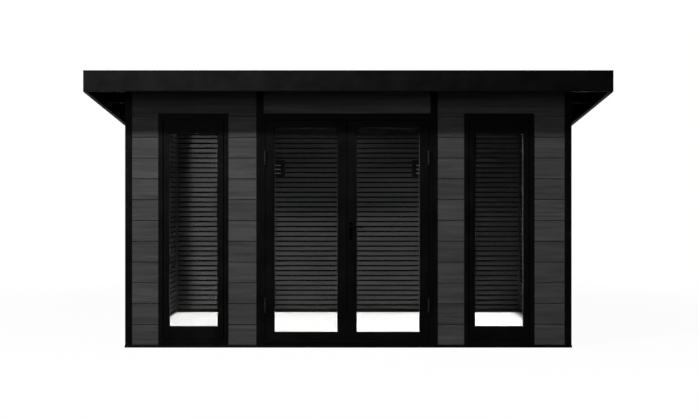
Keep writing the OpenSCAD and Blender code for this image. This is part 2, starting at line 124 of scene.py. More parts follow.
class NodeTree:
    """A node tree, with the joins that the finishes and the studio need."""

    def __init__(self, owner: bpy.types.Material | bpy.types.World) -> None:
        """Empties the tree of a new material or world.

        Args:
            owner: the material or world.
        """
        self.owner = owner
        self.owner.use_nodes = True
        self.tree = owner.node_tree
        self.tree.nodes.clear()

    def fill(self, node: bpy.types.Node, inputs: Inputs) -> bpy.types.Node:
        """Gives some inputs of a node what they need.

        Args:
            node: the node.
            inputs: a fixed value or an output to join, by each input's name or place.

        Returns:
            The same node.
        """
        for key, value in inputs.items():
            if isinstance(value, Socket):
                self.tree.links.new(value, node.inputs[key])
            else:
                node.inputs[key].default_value = value
        return node

    def node(self, kind: str, inputs: Inputs | None = None, **settings: object) -> bpy.types.Node:
        """Adds a node.

        Args:
            kind: the node's type.
            inputs: what its inputs get.
            settings: attributes to set on it.

        Returns:
            The new node.
        """
        made = self.tree.nodes.new(kind)
        for key, value in settings.items():
            setattr(made, key, value)
        return self.fill(made, inputs or {})

    def maths(self, operation: str, *values: Value) -> Socket:
        """Works out one number from others."""
        return self.node("ShaderNodeMath", dict(enumerate(values)), operation=operation).outputs["Value"]

    def sum_of(self, first: Socket, second: Socket, share: float) -> Socket:
        """Adds a share of the second value to the first."""
        return self.maths("MULTIPLY_ADD", second, share, first)

    def between(self, value: Socket, ends: Span, out: Span = (0.0, 1.0), way: str = "LINEAR") -> Socket:
        """Maps a value from one range to another, held within it.

        Args:
            value: the value.
            ends: the range that it comes from.
            out: the range that it is mapped to.
            way: how it goes from one end to the other.

        Returns:
            The mapped value.
        """
        limits = zip(("From Min", "From Max", "To Min", "To Max"), (*ends, *out))
        inputs = {"Value": value, **dict(limits)}
        return self.node("ShaderNodeMapRange", inputs, interpolation_type=way).outputs["Result"]

    def mix(self, factor: Socket, first: Socket, second: Socket) -> Socket:
        """Mixes two shaders by a factor."""
        return self.node("ShaderNodeMixShader", {0: factor, 1: first, 2: second}).outputs["Shader"]


class NodeSheet(NodeTree):
    """A material's node tree, which ends in one Principled shader."""

    def __init__(self, name: str) -> None:
        """Starts a material.

        Args:
            name: the material's name.
        """
        super().__init__(bpy.data.materials.new(name))
        self.shader = self.node("ShaderNodeBsdfPrincipled")
        self.output = self.node("ShaderNodeOutputMaterial", {"Surface": self.shader.outputs["BSDF"]})

    def own(self, name: str) -> bpy.types.Node:
        """Reads an attribute that a piece's own mesh holds."""
        return self.node("ShaderNodeAttribute", attribute_name=name)

    def place(self, stretch: Triple = (1.0, 1.0, 1.0), source: GrainSource = GrainSource.FRAME) -> Socket:
        """Gives coordinates.

        Args:
            stretch: how many times finer a pattern is along each axis.
            source: where the coordinates come from.

        Returns:
            The vector output.
        """
        if source is GrainSource.OWN_PLACE:
            vector = self.own("grain_place").outputs["Vector"]
        else:
            vector = self.node("ShaderNodeTexCoord").outputs["Object"]
        return self.node("ShaderNodeMapping", {"Vector": vector, "Scale": stretch}).outputs["Vector"]

    def pattern(self, what: Pattern) -> Socket:
        """Draws a pattern.

        Args:
            what: the pattern.

        Returns:
            The value output.
        """
        inputs = {"Vector": self.place(what.stretch, what.source), "Scale": what.scale}
        if not what.waves:
            inputs.update({"Detail": what.detail, "Roughness": what.rough})
            return self.node("ShaderNodeTexNoise", inputs).outputs["Fac"]
        waves = [self.node("ShaderNodeTexWave", inputs, bands_direction=axis) for axis in what.waves]
        total = waves[0].outputs["Fac"]
        for wave in waves[1:]:
            total = self.sum_of(total, wave.outputs["Fac"], 1.0)
        return total

    def shades(self, value: Socket, stops: Stops) -> Socket:
        """Turns a value into a colour.

        Args:
            value: what picks the colour.
            stops: positions with their colours.

        Returns:
            The colour output.
        """
        made = self.node("ShaderNodeValToRGB", {"Fac": value})
        ramp = made.color_ramp.elements
        for index, (position, colour) in enumerate(stops):
            stop = ramp[index] if index < 2 else ramp.new(position)
            stop.position = position
            stop.color = (*colour, 1.0)
        return made.outputs["Color"]

    def coat(self, colour: Socket, rough: Socket, height: Socket, strength: float, depth: float) -> None:
        """Colours and roughens the shader, and lets a height pattern tilt its normals."""
        bump = self.node("ShaderNodeBump", {"Height": height, "Strength": strength, "Distance": depth})
        self.fill(self.shader, {"Base Color": colour, "Roughness": rough, "Normal": bump.outputs["Normal"]})


@dataclass(frozen=True)
class Finish(ABC):
    """How a surface looks, and the slot of the frame's materials that it shows."""

    name: str
    slot: str

    @abstractmethod
    def paint(self, sheet: NodeSheet) -> None:
        """Lays the finish out in its material's tree."""

    def build(self) -> bpy.types.Material:
        """Makes the material.

        Returns:
            The finished material.
        """
        sheet = NodeSheet(self.name)
        self.paint(sheet)
        return sheet.owner


@dataclass(frozen=True)
class WoodGrain(Finish):
    """Embossed composite board or slat: long streaks, fine fibres and a tone of its own for each."""

    dark: Colour
    light: Colour
    streaks: Pattern
    fibres: Pattern
    roughness: Span = (0.69, 0.55)
    relief: float = 0.5
    relief_depth: float = 0.0009
    gloss: float = 0.3
    clouds: Pattern = Pattern(1.4, 2.0, 0.5, (1.0, 1.0, 2.2), source=GrainSource.OWN_PLACE)
    fibre_share: float = 0.5
    cloud_share: float = 0.3
    grain_range: Span = (0.62, 1.18)
    middle_at: float = 0.55

    def paint(self, sheet: NodeSheet) -> None:
        """Lays out the nodes.

        Args:
            sheet: the material's tree.
        """
        fine = sheet.pattern(self.fibres)
        grain = sheet.sum_of(sheet.pattern(self.streaks), fine, self.fibre_share)
        grain = sheet.sum_of(grain, sheet.pattern(self.clouds), self.cloud_share)
        middle = tuple((a + b) / 2 for a, b in zip(self.dark, self.light))
        stops = ((0.0, self.dark), (1.0, self.light), (self.middle_at, middle))
        colour = sheet.shades(sheet.between(grain, self.grain_range), stops)
        tone = sheet.own("board_tone").outputs["Fac"]
        toned = sheet.node("ShaderNodeHueSaturation", {"Value": tone, "Color": colour})
        rough = sheet.between(fine, NOISE_RANGE, self.roughness)
        sheet.coat(toned.outputs["Color"], rough, grain, self.relief, self.relief_depth)
        sheet.fill(sheet.shader, {"Specular IOR Level": self.gloss})


@dataclass(frozen=True)
class PowderCoat(Finish):
    """Powder-coated metal: a fine orange peel, slight mottling and a little dust near the ground."""

    deep: Colour
    dusty: Colour
    roughness: Span = (0.37, 0.51)
    peel: Pattern = Pattern(620.0, 2.0, 0.5)
    relief: float = 0.10
    relief_depth: float = 0.0004
    gloss: float = 0.35
    mottling: Pattern = Pattern(5.5, 5.0, 0.62)
    mottle_range: Span = (0.3, 0.75)
    dust_range: Span = (0.42, 0.72)
    dust_height: float = 0.35
    dust_at_foot: float = 0.55
    dust_all_over: float = 0.55

    def paint(self, sheet: NodeSheet) -> None:
        """Lays out the nodes.

        Args:
            sheet: the material's tree.
        """
        mottle = sheet.pattern(self.mottling)
        height = sheet.node("ShaderNodeSeparateXYZ", {"Vector": sheet.place()}).outputs["Z"]
        low_down = sheet.between(height, (0.0, self.dust_height), (self.dust_at_foot, 0.0))
        dusted = sheet.sum_of(low_down, mottle, self.dust_all_over)
        dust = sheet.maths("MULTIPLY", sheet.between(mottle, self.dust_range), dusted)
        colour = sheet.shades(dust, ((0.0, self.deep), (1.0, self.dusty)))
        rough = sheet.between(mottle, self.mottle_range, self.roughness)
        sheet.coat(colour, rough, sheet.pattern(self.peel), self.relief, self.relief_depth)
        sheet.fill(sheet.shader, {"Specular IOR Level": self.gloss})


@dataclass(frozen=True)
class PaleFloor(Finish):
    """Pale plank flooring: faint plank joints, soft grain and scuffs."""

    plank_length: float = 1.28
    plank_width: float = 0.19
    joint: float = 0.0018
    light_plank: Colour = (0.93, 0.926, 0.918)
    dark_plank: Colour = (0.90, 0.896, 0.888)
    joint_colour: Colour = (0.62, 0.61, 0.60)
    grain: Pattern = Pattern(14.0, 5.0, 0.6, (0.35, 5.0, 1.0))
    scuffs: Stops = ((0.3, (0.95, 0.95, 0.947)), (0.7, (1.0, 1.0, 1.0)))
    roughness: Span = (0.38, 0.52)
    relief: float = 0.25
    joint_sunk: float = 0.0006

    def paint(self, sheet: NodeSheet) -> None:
        """Lays out the nodes.

        Args:
            sheet: the material's tree.
        """
        inputs = {
            "Vector": sheet.place(), "Scale": 1.0, "Mortar Size": self.joint,
            "Brick Width": self.plank_length, "Row Height": self.plank_width,
            "Color1": (*self.light_plank, 1.0), "Color2": (*self.dark_plank, 1.0),
            "Mortar": (*self.joint_colour, 1.0),
        }
        planks = sheet.node("ShaderNodeTexBrick", inputs)
        grain = sheet.pattern(self.grain)
        # A mix node's sockets go by place, because those for numbers, vectors and colours share names.
        share, first, second, result = 0, 6, 7, 2
        layers = {share: 1.0, first: planks.outputs["Color"], second: sheet.shades(grain, self.scuffs)}
        toned = sheet.node("ShaderNodeMix", layers, data_type="RGBA", blend_type="MULTIPLY")
        rough = sheet.between(grain, NOISE_RANGE, self.roughness)
        sheet.coat(toned.outputs[result], rough, planks.outputs["Fac"], self.relief, -self.joint_sunk)


@dataclass(frozen=True)
class PaneGlass(Finish):
    """Clear float glass that lets lamps through."""

    tint: Colour = (0.960, 0.963, 0.961)
    lamp_share: Colour = (0.938, 0.941, 0.939)
    film: Pattern = Pattern(7.0)
    film_range: Span = (0.45, 0.85)
    film_roughness: float = 0.02
    bending: float = 1.45

    def paint(self, sheet: NodeSheet) -> None:
        """Lays out the nodes.

        Args:
            sheet: the material's tree.
        """
        rough = sheet.between(sheet.pattern(self.film), self.film_range, (0.0, self.film_roughness))
        glass = {"Base Color": (*self.tint, 1.0), "Transmission Weight": 1.0, "IOR": self.bending}
        sheet.fill(sheet.shader, {**glass, "Roughness": rough})
        clear = sheet.node("ShaderNodeBsdfTransparent", {"Color": (*self.lamp_share, 1.0)}).outputs["BSDF"]
        shadow = sheet.node("ShaderNodeLightPath").outputs["Is Shadow Ray"]
        sheet.fill(sheet.output, {"Surface": sheet.mix(shadow, sheet.shader.outputs["BSDF"], clear)})


@dataclass(frozen=True)
class Skin(Finish):
    """Sheet, membrane, rubber, fleece or metal that varies by a coarse and a fine pattern.

    Attributes:
        coarse: the pattern that picks the colour.
        fine: the pattern that stands out in relief.
        stops: values of the coarse pattern with their colours.
        roughness: how rough it is at the low and at the high values of the pattern named in rough_by.
        relief: how strongly the relief shows.
        relief_depth: its depth in metres.
        fine_in_colour: the share of the fine pattern that is added to the colour's.
        coarse_in_relief: the share of the coarse pattern that is added to the relief.
        rough_by: the pattern that the roughness follows.
        metallic: how much of a metal it is.
        gloss: how shiny it is where it is no metal.
    """

    coarse: Pattern
    fine: Pattern
    stops: Stops
    roughness: Span
    relief: float
    relief_depth: float
    fine_in_colour: float = 0.0
    coarse_in_relief: float = 0.0
    rough_by: Layer = Layer.COARSE
    metallic: float = 0.0
    gloss: float = 0.5

    def paint(self, sheet: NodeSheet) -> None:
        """Lays out the nodes.

        Args:
            sheet: the material's tree.
        """
        drawn = {Layer.COARSE: sheet.pattern(self.coarse), Layer.FINE: sheet.pattern(self.fine)}
        coarse, fine = drawn[Layer.COARSE], drawn[Layer.FINE]
        colour = sheet.shades(sheet.sum_of(coarse, fine, self.fine_in_colour), self.stops)
        rough = sheet.between(drawn[self.rough_by], NOISE_RANGE, self.roughness)
        height = sheet.sum_of(fine, coarse, self.coarse_in_relief)
        sheet.coat(colour, rough, height, self.relief, self.relief_depth)
        sheet.fill(sheet.shader, {"Metallic": self.metallic, "Specular IOR Level": self.gloss})


def grey(level: float) -> Colour:
    """A grey of that level."""
    return (level, level, level)


def panel_sheet(name: str, slot: str, dark: float, light: float, ribs: float, gloss: float) -> Skin:
    """Thin coated sheet over a foam core, with shallow ribs along it and slight waviness.

    Args:
        name: the finish's name.
        slot: its slot.
        dark: the grey of its dark patches.
        light: the grey of its light ones.
        ribs: how closely its ribs follow each other.
        gloss: how shiny its coat is.

    Returns:
        The finish.
    """
    stops = ((0.35, grey(dark)), (0.7, grey(light)))
    return Skin(
        name, slot, Pattern(3.0), Pattern(ribs, waves="Y"), stops,
        roughness=(0.45, 0.6), relief=0.12, relief_depth=0.0005, coarse_in_relief=2.0, gloss=gloss,
    )


BOARDS = WoodGrain(
    "charcoal_boards", "boards", (0.033, 0.033, 0.0335), (0.091, 0.091, 0.092),
    Pattern(3.2, 5.0, 0.62, (0.5, 2.0, 9.0), source=GrainSource.OWN_PLACE),
    Pattern(46.0, 4.0, 0.6, (0.16, 1.0, 8.0), source=GrainSource.OWN_PLACE),
)
SLATS = replace(
    BOARDS, name="lining_slats", slot="slats", dark=(0.019, 0.019, 0.0192), light=(0.038, 0.038, 0.0384),
    streaks=replace(BOARDS.streaks, scale=4.0), fibres=replace(BOARDS.fibres, scale=60.0),
    roughness=(0.67, 0.53), relief=0.35,
)
BLACK_FRAME = PowderCoat(
    "black_powder_coat", "black_frame", grey(0.0004), grey(0.0014),
    roughness=(0.28, 0.42), relief=0.06, gloss=0.5,
)
FASCIA_COAT = PowderCoat(
    "fascia_coat", "fascia", grey(0.0002), grey(0.0005),
    peel=Pattern(520.0, 2.0, 0.5), relief=0.05, gloss=0.32,
)
VENT_COAT = PowderCoat(
    "vent_coat", "vent", grey(0.002), grey(0.006), roughness=(0.45, 0.59), gloss=0.15
)
WALL_SHEET = panel_sheet("wall_sheet", "wall_core", 0.018, 0.032, 18.0, 0.3)
SOFFIT_SHEET = panel_sheet("soffit_sheet", "soffit", 0.003, 0.007, 25.0, 0.0)
# Painted highlight: the joint covers under the eaves are a far lighter grey than the same covers in the
# room, standing in for light lines along the joints.
PAINTED_HIGHLIGHT_COVER = panel_sheet("joint_cover", "soffit", 0.10, 0.15, 25.0, 0.2)
FLOOR = PaleFloor("pale_plank_floor", "floor")
GLASS = PaneGlass("clear_float_glass", "glass")
RUBBER = Skin(
    "sealing_rubber", "black_frame", Pattern(60.0), Pattern(60.0),
    ((0.35, grey(0.0004)), (0.75, grey(0.0016))),
    roughness=(0.72, 0.6), relief=0.2, relief_depth=0.0003, gloss=0.05,
)
FLEECE = Skin(
    "filter_fleece", "vent", Pattern(30.0), Pattern(380.0, waves="XZ"),
    ((0.35, grey(0.16)), (0.8, grey(0.32))),
    roughness=(0.85, 0.95), relief=0.3, relief_depth=0.0003, fine_in_colour=0.12,
)
MEMBRANE = Skin(
    "roof_membrane", "roof_membrane", Pattern(2.6, 6.0, 0.62, (1.0, 0.35, 1.0)), Pattern(420.0, 2.0),
    ((0.5, (0.018, 0.019, 0.02)), (0.95, (0.05, 0.051, 0.05)), (0.72, (0.03, 0.031, 0.032))),
    roughness=(0.72, 0.9), relief=0.35, relief_depth=0.0006, fine_in_colour=0.35,
)
HINGE = Skin(
    "hinge_metal", "hinge_metal", Pattern(38.0, 5.0, 0.65), Pattern(3.0, 4.0, 0.55, (260.0, 260.0, 9.0)),
    ((0.45, grey(0.09)), (0.8, grey(0.20))),
    roughness=(0.22, 0.36), relief=0.12, relief_depth=0.0002, rough_by=Layer.FINE, metallic=0.9,
)
HANDLE = replace(
    HINGE, name="handle_metal", slot="handle_metal", stops=((0.45, grey(0.001)), (0.8, grey(0.003))),
    roughness=(0.30, 0.44), metallic=0.0, gloss=0.04,
)
THRESHOLD = replace(
    HINGE, name="threshold_metal", slot="threshold_metal", stops=((0.45, grey(0.0015)), (0.8, grey(0.005))),
    fine=Pattern(3.0, 4.0, 0.55, (9.0, 260.0, 260.0)), roughness=(0.44, 0.58), metallic=0.0, gloss=0.1,
)
SPACER = replace(
    HINGE, name="spacer_bar", slot="black_frame", stops=((0.45, grey(0.15)), (0.8, grey(0.22))),
    roughness=(0.44, 0.58), metallic=0.1,
)
SCREW = replace(
    HINGE, name="dark_screw", slot="vent", stops=((0.45, grey(0.04)), (0.8, grey(0.09))),
    roughness=(0.34, 0.48), metallic=0.8,
)


class Finishes:
    """Makes each finish once and hands it to nodes and pieces."""

    def __init__(self) -> None:
        """Starts with no finish made."""
        self.made: dict[str, bpy.types.Material] = {}

    def material(self, finish: Finish) -> bpy.types.Material:
        """Gives a finish's material.

        Args:
            finish: the finish that is asked for.

        Returns:
            Its material, made at the first call.
        """
        if finish.name not in self.made:
            self.made[finish.name] = finish.build()
        return self.made[finish.name]

    def dress(self, finish: Finish, *nodes: str) -> None:
        """Gives nodes of the frame a finish.

        Args:
            finish: the finish that they get.
            nodes: the nodes' names.
        """
        for name in nodes:
            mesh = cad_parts[name].data
            mesh.materials.clear()
            mesh.materials.append(self.material(finish))
            log.info("dressed %s with %s", name, finish.name)


FINISHES = Finishes()


# ---------------------------------------------------------------- mesh tools


@dataclass(frozen=True)
class Opening:
    """A rectangle on a wall: a hole in it, or a part of a board beside one."""

    start: float
    end: float
    low: float
    high: float


class Side(Enum):
    """A side of the building, with its turn about Z from the front."""

    FRONT = 0
    RIGHT = 90
    BACK = 180
    LEFT = 270


@dataclass(frozen=True)
class WallFace:
    """A wall's own axes: along it, into it from its outer face, and up."""

    side: Side
    face: float

    def point(self, along: float, depth: float, height: float) -> Vector:
        """Gives a point of the wall in the frame's axes.

        Args:
            along: distance from the wall's middle, to the right as seen from outside.
            depth: distance behind the outer face.
            height: height above the ground.

        Returns:
            The point.
        """
        turn = Matrix.Rotation(math.radians(self.side.value), 3, "Z")
        return turn @ Vector((along, depth - self.face, height))

    def unturned(self, point: Vector) -> Vector:
        """Turns a point of this side round to the front."""
        return Matrix.Rotation(-math.radians(self.side.value), 3, "Z") @ point

    def strip(self, part: Opening, outline: Outline) -> bmesh.types.BMesh:
        """Draws a section out along the wall and keeps what lies within a rectangle.

        Args:
            part: the rectangle.
            outline: the section's corners as depth and height.

        Returns:
            The solid.
        """
        near = [self.point(part.start, d, z) for d, z in outline]
        far = [self.point(part.end, d, z) for d, z in outline]
        solid = drawn_out(near, far)
        heights = [z for _, z in outline]
        if part.low > min(heights):
            trimmed(solid, Vector((0, 0, part.low)), Vector((0, 0, -1)))
        if part.high < max(heights):
            trimmed(solid, Vector((0, 0, part.high)), Vector((0, 0, 1)))
        return solid


def split(strip: Opening, cuts: Sequence[Opening]) -> list[Opening]:
    """Splits a strip round the openings that it meets.

    Args:
        strip: the strip's rectangle.
        cuts: the openings.

    Returns:
        The rectangles that are left of it.
    """
    least = 1e-4
    left = [strip]
    for cut in cuts:
        kept = []
        for part in left:
            apart = cut.end <= part.start or cut.start >= part.end
            if apart or cut.high <= part.low or cut.low >= part.high:
                kept.append(part)
                continue
            near, far = max(cut.start, part.start), min(cut.end, part.end)
            kept.append(Opening(part.start, near, part.low, part.high))
            kept.append(Opening(far, part.end, part.low, part.high))
            kept.append(Opening(near, far, part.low, cut.low))
            kept.append(Opening(near, far, cut.high, part.high))
        left = [p for p in kept if p.end - p.start > least and p.high - p.low > least]
    return left


def stood(name: str, data: bpy.types.ID, place: Triple = (0.0, 0.0, 0.0)) -> bpy.types.Object:
    """Adds an object to the scene.

    Args:
        name: its name.
        data: its mesh, lamp or camera.
        place: where it stands.

    Returns:
        The object.
    """
    made = bpy.data.objects.new(name, data)
    made.location = place
    bpy.context.scene.collection.objects.link(made)
    return made


class Draft:
    """Collects closed solids for one piece and turns them into a mesh object."""

    def __init__(self) -> None:
        """Starts with nothing in it."""
        self.points: list[Vector] = []
        self.faces: list[list[int]] = []
        self.places: list[Vector] = []
        self.tones: list[float] = []

    def pour(
        self, solid: bmesh.types.BMesh, tone: float = 1.0, place: Callable[[Vector], Vector] = Vector.copy
    ) -> None:
        """Adds a solid and frees it.

        Args:
            solid: the solid.
            tone: how light the solid is beside its neighbours.
            place: gives a point's place in the grain, which is the point itself if nothing is given.
        """
        first = len(self.points)
        solid.verts.index_update()
        for vert in solid.verts:
            self.points.append(vert.co.copy())
            self.places.append(place(vert.co))
            self.tones.append(tone)
        for face in solid.faces:
            self.faces.append([first + vert.index for vert in face.verts])
        solid.free()

    def block(self, corner: Triple, opposite: Triple, edge: float) -> None:
        """Adds a block with broken edges between two of its corners."""
        self.pour(edged_block(corner, opposite, edge))

    def piece(self, name: str, finish: Finish, body: str = "root", stands_for: Iterable[str] = ()) -> None:
        """Makes the mesh object and seats it on a body.

        Args:
            name: the piece's name.
            finish: its finish.
            body: the body that it moves with.
            stands_for: nodes of the frame that it is shown in place of.
        """
        mesh = bpy.data.meshes.new(name)
        mesh.from_pydata(self.points, [], self.faces)
        whole = bmesh.new()
        whole.from_mesh(mesh)
        bmesh.ops.recalc_face_normals(whole, faces=whole.faces)
        whole.to_mesh(mesh)
        whole.free()
        grain = mesh.attributes.new("grain_place", "FLOAT_VECTOR", "POINT")
        grain.data.foreach_set("vector", [c for p in self.places for c in p])
        tone = mesh.attributes.new("board_tone", "FLOAT", "POINT")
        tone.data.foreach_set("value", self.tones)
        mesh.materials.append(FINISHES.material(finish))
        made = stood(name, mesh)
        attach(made, body)
        if stands_for:
            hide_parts(*stands_for)
        log.info("built %s: %d faces, on %s", name, len(mesh.polygons), body)


def drawn_out(outline: Sequence[Vector], ends: Sequence[Vector]) -> bmesh.types.BMesh:
    """Joins two matching outlines into a closed solid.

    Args:
        outline: the corners at one end.
        ends: the same corners at the other end.

    Returns:
        The solid.
    """
    solid = bmesh.new()
    near = [solid.verts.new(p) for p in outline]
    far = [solid.verts.new(p) for p in ends]
    solid.faces.new(near)
    solid.faces.new(far[::-1])
    for index in range(len(near)):
        after = (index + 1) % len(near)
        solid.faces.new((near[index], far[index], far[after], near[after]))
    return solid


def trimmed(solid: bmesh.types.BMesh, at: Vector, away: Vector) -> bmesh.types.BMesh:
    """Cuts off what lies beyond a plane and closes the cut.

    Args:
        solid: the solid to cut.
        at: a point of the plane.
        away: the direction of what is cut off.

    Returns:
        The same solid.
    """
    parts = solid.verts[:] + solid.edges[:] + solid.faces[:]
    cut = bmesh.ops.bisect_plane(solid, geom=parts, plane_co=at, plane_no=away, clear_outer=True)
    rim = [e for e in cut["geom_cut"] if isinstance(e, bmesh.types.BMEdge)]
    if rim:
        bmesh.ops.edgenet_fill(solid, edges=rim)
    return solid


def ring(low: Pair, high: Pair, outline: Outline) -> bmesh.types.BMesh:
    """Runs a closed outline round a rectangle in the X-Z plane, mitred at its corners.

    Args:
        low: the rectangle's lowest X and Z.
        high: its highest X and Z.
        outline: corners as distance inwards from the rectangle and Y.

    Returns:
        The closed ring.
    """
    solid = bmesh.new()
    loops = []
    for inward, y in outline:
        x0, z0, x1, z1 = low[0] + inward, low[1] + inward, high[0] - inward, high[1] - inward
        loops.append([solid.verts.new((x, y, z)) for x, z in ((x0, z0), (x1, z0), (x1, z1), (x0, z1))])
    for first, second in zip(loops, loops[1:] + loops[:1]):
        for corner in range(4):
            after = (corner + 1) % 4
            solid.faces.new((first[corner], first[after], second[after], second[corner]))
    return solid


def edged_block(corner: Triple, opposite: Triple, edge: float) -> bmesh.types.BMesh:
    """A block whose edges are broken all round.

    Args:
        corner: one of its corners.
        opposite: the corner farthest from that.
        edge: width of the broken edge.

    Returns:
        The block.
    """
    low, high = Vector(map(min, corner, opposite)), Vector(map(max, corner, opposite))
    solid = bmesh.new()
    bmesh.ops.create_cube(solid, size=1.0)
    middle, span = (low + high) / 2, high - low
    for vert in solid.verts:
        vert.co = middle + Vector(c * s for c, s in zip(vert.co, span))
    bmesh.ops.bevel(solid, geom=solid.edges[:], offset=edge, segments=2, affect="EDGES", profile=0.6)
    return solid


@dataclass(frozen=True)
class ScrewHead:
    """A domed screw head with a recess, lying on a face square to Y."""

    radius: float = 0.0035
    corners: int = 16
    dome: Outline = ((1.0, 0.0), (0.97, 0.25), (0.8, 0.42), (0.45, 0.52))
    recess: float = 0.3

    def solid(self, at: Vector, way: float) -> bmesh.types.BMesh:
        """Makes the head.

        Args:
            at: its middle on the face.
            way: the direction along Y in which it stands out.

        Returns:
            The head.
        """
        solid = bmesh.new()
        rings = []
        turns = [math.tau * index / self.corners for index in range(self.corners)]
        for share, rise in self.dome:
            reach, y = self.radius * share, at.y + way * self.radius * rise
            circle = [(at.x + reach * math.cos(t), y, at.z + reach * math.sin(t)) for t in turns]
            rings.append([solid.verts.new(corner) for corner in circle])
        sides = [(index, (index + 1) % self.corners) for index in range(self.corners)]
        for low, high in zip(rings, rings[1:]):
            for index, after in sides:
                solid.faces.new((low[index], low[after], high[after], high[index]))
        solid.faces.new(rings[0][::-1])
        hub = solid.verts.new((at.x, at.y + way * self.radius * self.recess, at.z))
        for index, after in sides:
            solid.faces.new((rings[-1][index], rings[-1][after], hub))
        return solid


# ---------------------------------------------------------------- building


class SubAssembly:
    """A part of the building, which builds pieces, finishes nodes of the frame, or both."""

    def build(self) -> None:
        """Builds its pieces, if it has any."""

    def dress(self) -> None:
        """Finishes its nodes of the frame, if any stay shown."""


@dataclass(frozen=True)
class Soffit:
    """The sloping plane on which the roof panels lie."""

    front_y: float
    front_z: float
    slope: float

    @classmethod
    def of_frame(cls) -> "Soffit":
        """Reads the plane from the tops of the front and the back boards.

        Returns:
            The plane.
        """
        low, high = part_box("front_cladding")
        back_low, back_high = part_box("back_cladding")
        slope = (high.z - back_high.z) / (back_low.y - low.y)
        return cls(low.y, high.z, slope)

    def height(self, y: float) -> float:
        """Height of the plane at a distance y."""
        return self.front_z - self.slope * (y - self.front_y)

    def trim(self, solid: bmesh.types.BMesh, gap: float = 0.0) -> bmesh.types.BMesh:
        """Cuts a solid off under the plane.

        Args:
            solid: the solid to cut.
            gap: how far under the plane it ends.

        Returns:
            The same solid.
        """
        at = Vector((0.0, self.front_y, self.front_z - gap))
        return trimmed(solid, at, Vector((0.0, self.slope, 1.0)))


def sleeve_openings() -> list[Opening]:
    """The rectangles that the vents' sleeves take out of the back wall's layers.

    Returns:
        One rectangle for each vent.
    """
    low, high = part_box("back_vents")
    side = high.z - low.z
    return [Opening(x, x + side, low.z, high.z) for x in (low.x, high.x - side)]


@dataclass
class CoursedWall:
    """A layer of boards or slats on one wall, laid in courses and cut under the roof."""

    side: Side
    node: str
    openings: list[Opening]
    soffit: Soffit
    seed: int
    eased_edge: float = 0.0008
    tone_spread: float = 0.08
    grain_spread: float = 30.0

    def __post_init__(self) -> None:
        """Reads the layer's place from the node that it stands for, and starts its random draws."""
        low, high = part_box(self.node)
        reach = {Side.FRONT: -low.y, Side.BACK: high.y, Side.LEFT: -low.x, Side.RIGHT: high.x}
        across = self.side in (Side.LEFT, Side.RIGHT)
        self.wall = WallFace(self.side, reach[self.side])
        self.thickness = high.x - low.x if across else high.y - low.y
        self.half = high.y if across else high.x
        self.foot, self.top = low.z, high.z
        self.chance = random.Random(self.seed)

    def parts(self, span: Span, heights: Span, outline: Outline) -> Iterator[bmesh.types.BMesh]:
        """Draws a section along the wall, round its openings and up to the roof.

        Args:
            span: where it starts and ends along the wall.
            heights: its lower and its upper edge.
            outline: the section's corners as depth and height.

        Yields:
            Each solid that is left between the openings.
        """
        for part in split(Opening(*span, *heights), self.openings):
            yield self.soffit.trim(self.wall.strip(part, outline))

    def lay(self, draft: Draft, span: Span, heights: Span, outline: Outline) -> None:
        """Lays a board or a slat, with a grain and a tone of its own.

        Args:
            draft: what it is added to.
            span: where it starts and ends along the wall.
            heights: its lower and its upper edge.
            outline: its section's corners as depth and height.
        """
        shift = Vector([self.chance.uniform(0, self.grain_spread) for _ in range(3)])
        tone = 1.0 + self.chance.uniform(-self.tone_spread, self.tone_spread)
        for solid in self.parts(span, heights, outline):
            draft.pour(solid, tone, lambda point: self.wall.unturned(point) + shift)


@dataclass
class BoardWall(CoursedWall):
    """One wall's outer boards, in place of its plain cladding."""

    spans: list[Span] = field(default_factory=list)
    first_joint: float = 0.206
    board_pitch: float = 0.1865
    least_board: float = 0.55
    joint_gap: float = 0.007
    joint_depth: float = 0.0095
    ease_turn: float = 0.3
    tone_spread: float = 0.10
    grain_spread: float = 40.0

    def board_outline(self, low: float, high: float) -> Outline:
        """A board's section: eased edges on its face and a tongue across each joint.

        Args:
            low: where the board starts.
            high: where it ends.

        Returns:
            Corners as depth and height.
        """
        half, ease, deep = self.joint_gap / 2, self.eased_edge, self.joint_depth
        turn = ease * self.ease_turn
        edge = [
            (0.0, half + ease), (turn, half + turn), (ease, half),
            (deep, half), (deep, 0.0), (self.thickness, 0.0),
        ]
        return [(depth, low + up) for depth, up in edge] + [(depth, high - up) for depth, up in edge[::-1]]

    def courses(self) -> list[Span]:
        """Finds the courses of boards, up to the roof.

        Returns:
            The lowest and the highest edge of each course.
        """
        joints = [self.foot]
        height = self.first_joint
        while height < self.top - self.board_pitch * self.least_board:
            joints.append(height)
            height += self.board_pitch
        joints.append(self.top + self.joint_gap)
        return list(zip(joints, joints[1:]))

    def build(self) -> None:
        """Lays the boards course by course."""
        draft = Draft()
        for low, high in self.courses():
            for span in self.spans:
                self.lay(draft, span, (low, high), self.board_outline(low, high))
        draft.piece(f"boards_{self.side.name.lower()}", BOARDS, stands_for=[self.node])


